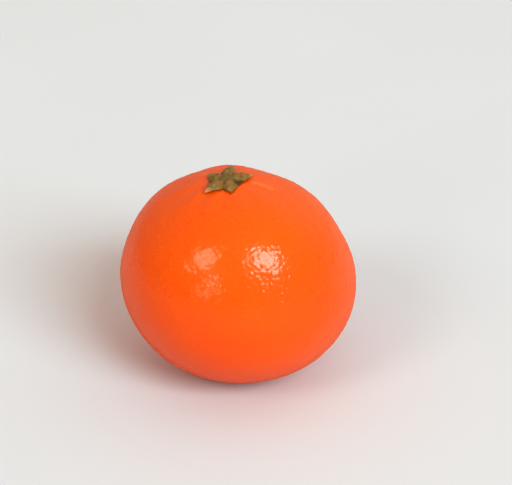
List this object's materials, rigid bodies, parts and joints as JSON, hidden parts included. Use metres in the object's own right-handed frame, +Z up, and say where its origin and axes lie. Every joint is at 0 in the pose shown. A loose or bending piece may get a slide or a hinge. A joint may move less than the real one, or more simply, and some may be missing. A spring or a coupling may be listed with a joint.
{
  "type": "mandarin",
  "caption": "Whole fresh mandarin with a smooth orange peel and a dry star-shaped calyx, resting on a small flat spot.",
  "frame": {"origin": "on the flat resting spot, straight below the middle of the fruit", "axes": "+Z up out of the surface it rests on; -Y towards the picture's camera; +X to the right in the picture"},
  "size_m": [0.0597, 0.0597, 0.0551],
  "materials": {
    "peel": "waxy citrus peel, glossy, with fine pores",
    "calyx": "dry woody calyx, green-brown, satin"
  },
  "bodies": {
    "root": {"fruit": "peel", "calyx": "calyx"}
  },
  "joints": []
}
